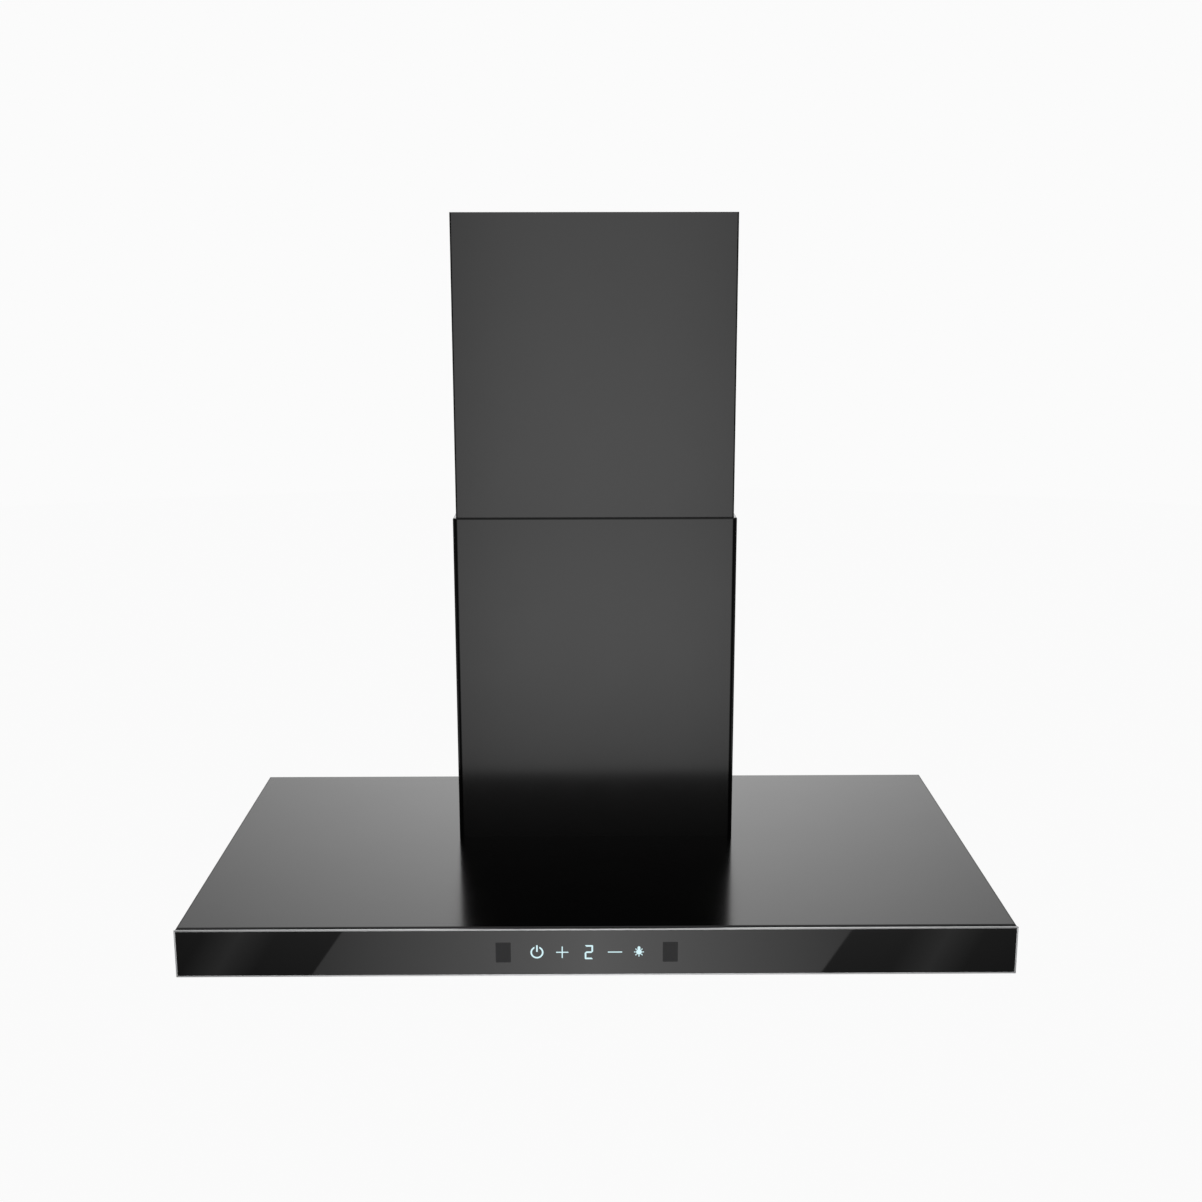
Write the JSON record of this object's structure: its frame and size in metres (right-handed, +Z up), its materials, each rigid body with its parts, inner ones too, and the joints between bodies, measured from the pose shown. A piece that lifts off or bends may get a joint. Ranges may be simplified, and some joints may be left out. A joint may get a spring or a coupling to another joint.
{
  "type": "range hood",
  "caption": "Wall-mounted T-shaped chimney range hood: flat canopy with glass touch front, telescoping covers, blower with damper, drop-down baffle filters.",
  "frame": {"origin": "on the wall plane, centred left to right, at the canopy's lower rim", "axes": "+X to the right as seen from the front, +Y into the wall (the front faces -Y), +Z up"},
  "size_m": [0.9, 0.5, 0.8025],
  "materials": {
    "black_enamel": "satin black enamel, softly reflective",
    "underframe_enamel": "satin black enamel",
    "trim_aluminium": "polished edging",
    "black_glass": "black-backed tempered glass, mirror gloss; modelled as opaque because its back is painted black",
    "foam_tape": "black foam tape",
    "lit_symbol": "printed window lit from behind, cool white",
    "sensor_window": "dark infrared window",
    "light_diffuser": "white moulding",
    "circuit_board": "green solder mask",
    "housing_plastic": "black moulding",
    "lamp_bezel_metal": "brushed",
    "lamp_lens": "frosted diffuser",
    "heat_sink": "cast",
    "zinc_sheet": "galvanised sheet",
    "bracket_steel": "zinc-plated",
    "blower_plastic": "dark grey moulding",
    "motor_casting": "cast",
    "bright_steel": "ground steel",
    "motor_winding": "laminations with varnished winding",
    "transformer_winding": "laminations with yellow tape",
    "terminal_plastic": "off-white moulding",
    "gland_rubber": "black",
    "cable_sheath": "black cable jacket",
    "screw_steel": "black-zinc screws",
    "filter_steel": "brushed stainless",
    "spring_steel": "spring steel"
  },
  "bodies": {
    "hood": {"canopy_shell": "black_enamel", "canopy_underframe": "underframe_enamel", "front_trim": "trim_aluminium", "front_glass": "black_glass", "glass_tape": "foam_tape", "icon_power": "lit_symbol", "icon_plus": "lit_symbol", "icon_minus": "lit_symbol", "icon_lamp": "lit_symbol", "display_digit": "lit_symbol", "gesture_window_left": "sensor_window", "gesture_window_right": "sensor_window", "light_guide": "light_diffuser", "touch_board": "circuit_board", "control_housing": "housing_plastic", "lamp_left_bezel": "lamp_bezel_metal", "lamp_right_bezel": "lamp_bezel_metal", "lamp_left_lens": "lamp_lens", "lamp_right_lens": "lamp_lens", "lamp_left_housing": "heat_sink", "lamp_right_housing": "heat_sink", "lower_chimney": "black_enamel", "chimney_feet": "bracket_steel", "motor_tower": "zinc_sheet", "scroll_wrap": "zinc_sheet", "scroll_side_left": "zinc_sheet", "scroll_side_right": "zinc_sheet", "inlet_rings": "blower_plastic", "motor_bracket": "bracket_steel", "motor_housing": "motor_casting", "motor_bearings": "bright_steel", "motor_stator": "motor_winding", "duct_collar": "blower_plastic", "damper_pin": "bright_steel", "damper_spring_left": "bright_steel", "damper_spring_right": "bright_steel", "power_box": "zinc_sheet", "power_box_lid": "zinc_sheet", "main_board": "circuit_board", "transformer": "transformer_winding", "terminal_block": "terminal_plastic", "mains_gland": "gland_rubber", "cable_grommet": "gland_rubber", "motor_capacitor": "terminal_plastic", "internal_cables": "cable_sheath", "hood_screws": "screw_steel"},
    "impeller_body": {"impeller": "blower_plastic", "motor_shaft": "bright_steel", "impeller_nut": "bright_steel"},
    "upper_chimney_body": {"upper_chimney": "black_enamel", "chimney_bracket": "bracket_steel", "upper_chimney_screws": "screw_steel"},
    "damper_left_body": {"damper_flap_left": "zinc_sheet"},
    "damper_right_body": {"damper_flap_right": "zinc_sheet"},
    "filter_left_body": {"filter_left_frame": "filter_steel", "filter_left_baffles": "filter_steel", "filter_left_clips": "spring_steel"},
    "filter_right_body": {"filter_right_frame": "filter_steel", "filter_right_baffles": "filter_steel", "filter_right_clips": "spring_steel"}
  },
  "joints": [
    {"name": "chimney_slide", "type": "slide", "parent": "hood", "child": "upper_chimney_body", "axis": [0, 0, 1], "range_m": [-0.32, 0]},
    {"name": "impeller_spin", "type": "hinge", "parent": "hood", "child": "impeller_body", "pos_m": [0, -0.1, 0.156], "axis": [1, 0, 0], "continuous": true},
    {"name": "damper_left_swing", "type": "hinge", "parent": "hood", "child": "damper_left_body", "pos_m": [0, -0.112, 0.3155], "axis": [0, 1, 0], "range_deg": [0, 80], "stiffness_Nm_per_rad": 0.01, "springref_deg": -20.05, "deforming": ["damper_spring_left"]},
    {"name": "damper_right_swing", "type": "hinge", "parent": "hood", "child": "damper_right_body", "pos_m": [0, -0.112, 0.3155], "axis": [0, -1, 0], "range_deg": [0, 80], "stiffness_Nm_per_rad": 0.01, "springref_deg": -20.05, "deforming": ["damper_spring_right"]},
    {"name": "filter_left_tilt", "type": "hinge", "parent": "hood", "child": "filter_left_body", "pos_m": [0, -0.045, 0.002], "axis": [1, 0, 0], "range_deg": [0, 60], "deforming": ["filter_left_clips"]},
    {"name": "filter_right_tilt", "type": "hinge", "parent": "hood", "child": "filter_right_body", "pos_m": [0, -0.045, 0.002], "axis": [1, 0, 0], "range_deg": [0, 60], "deforming": ["filter_right_clips"]}
  ]
}
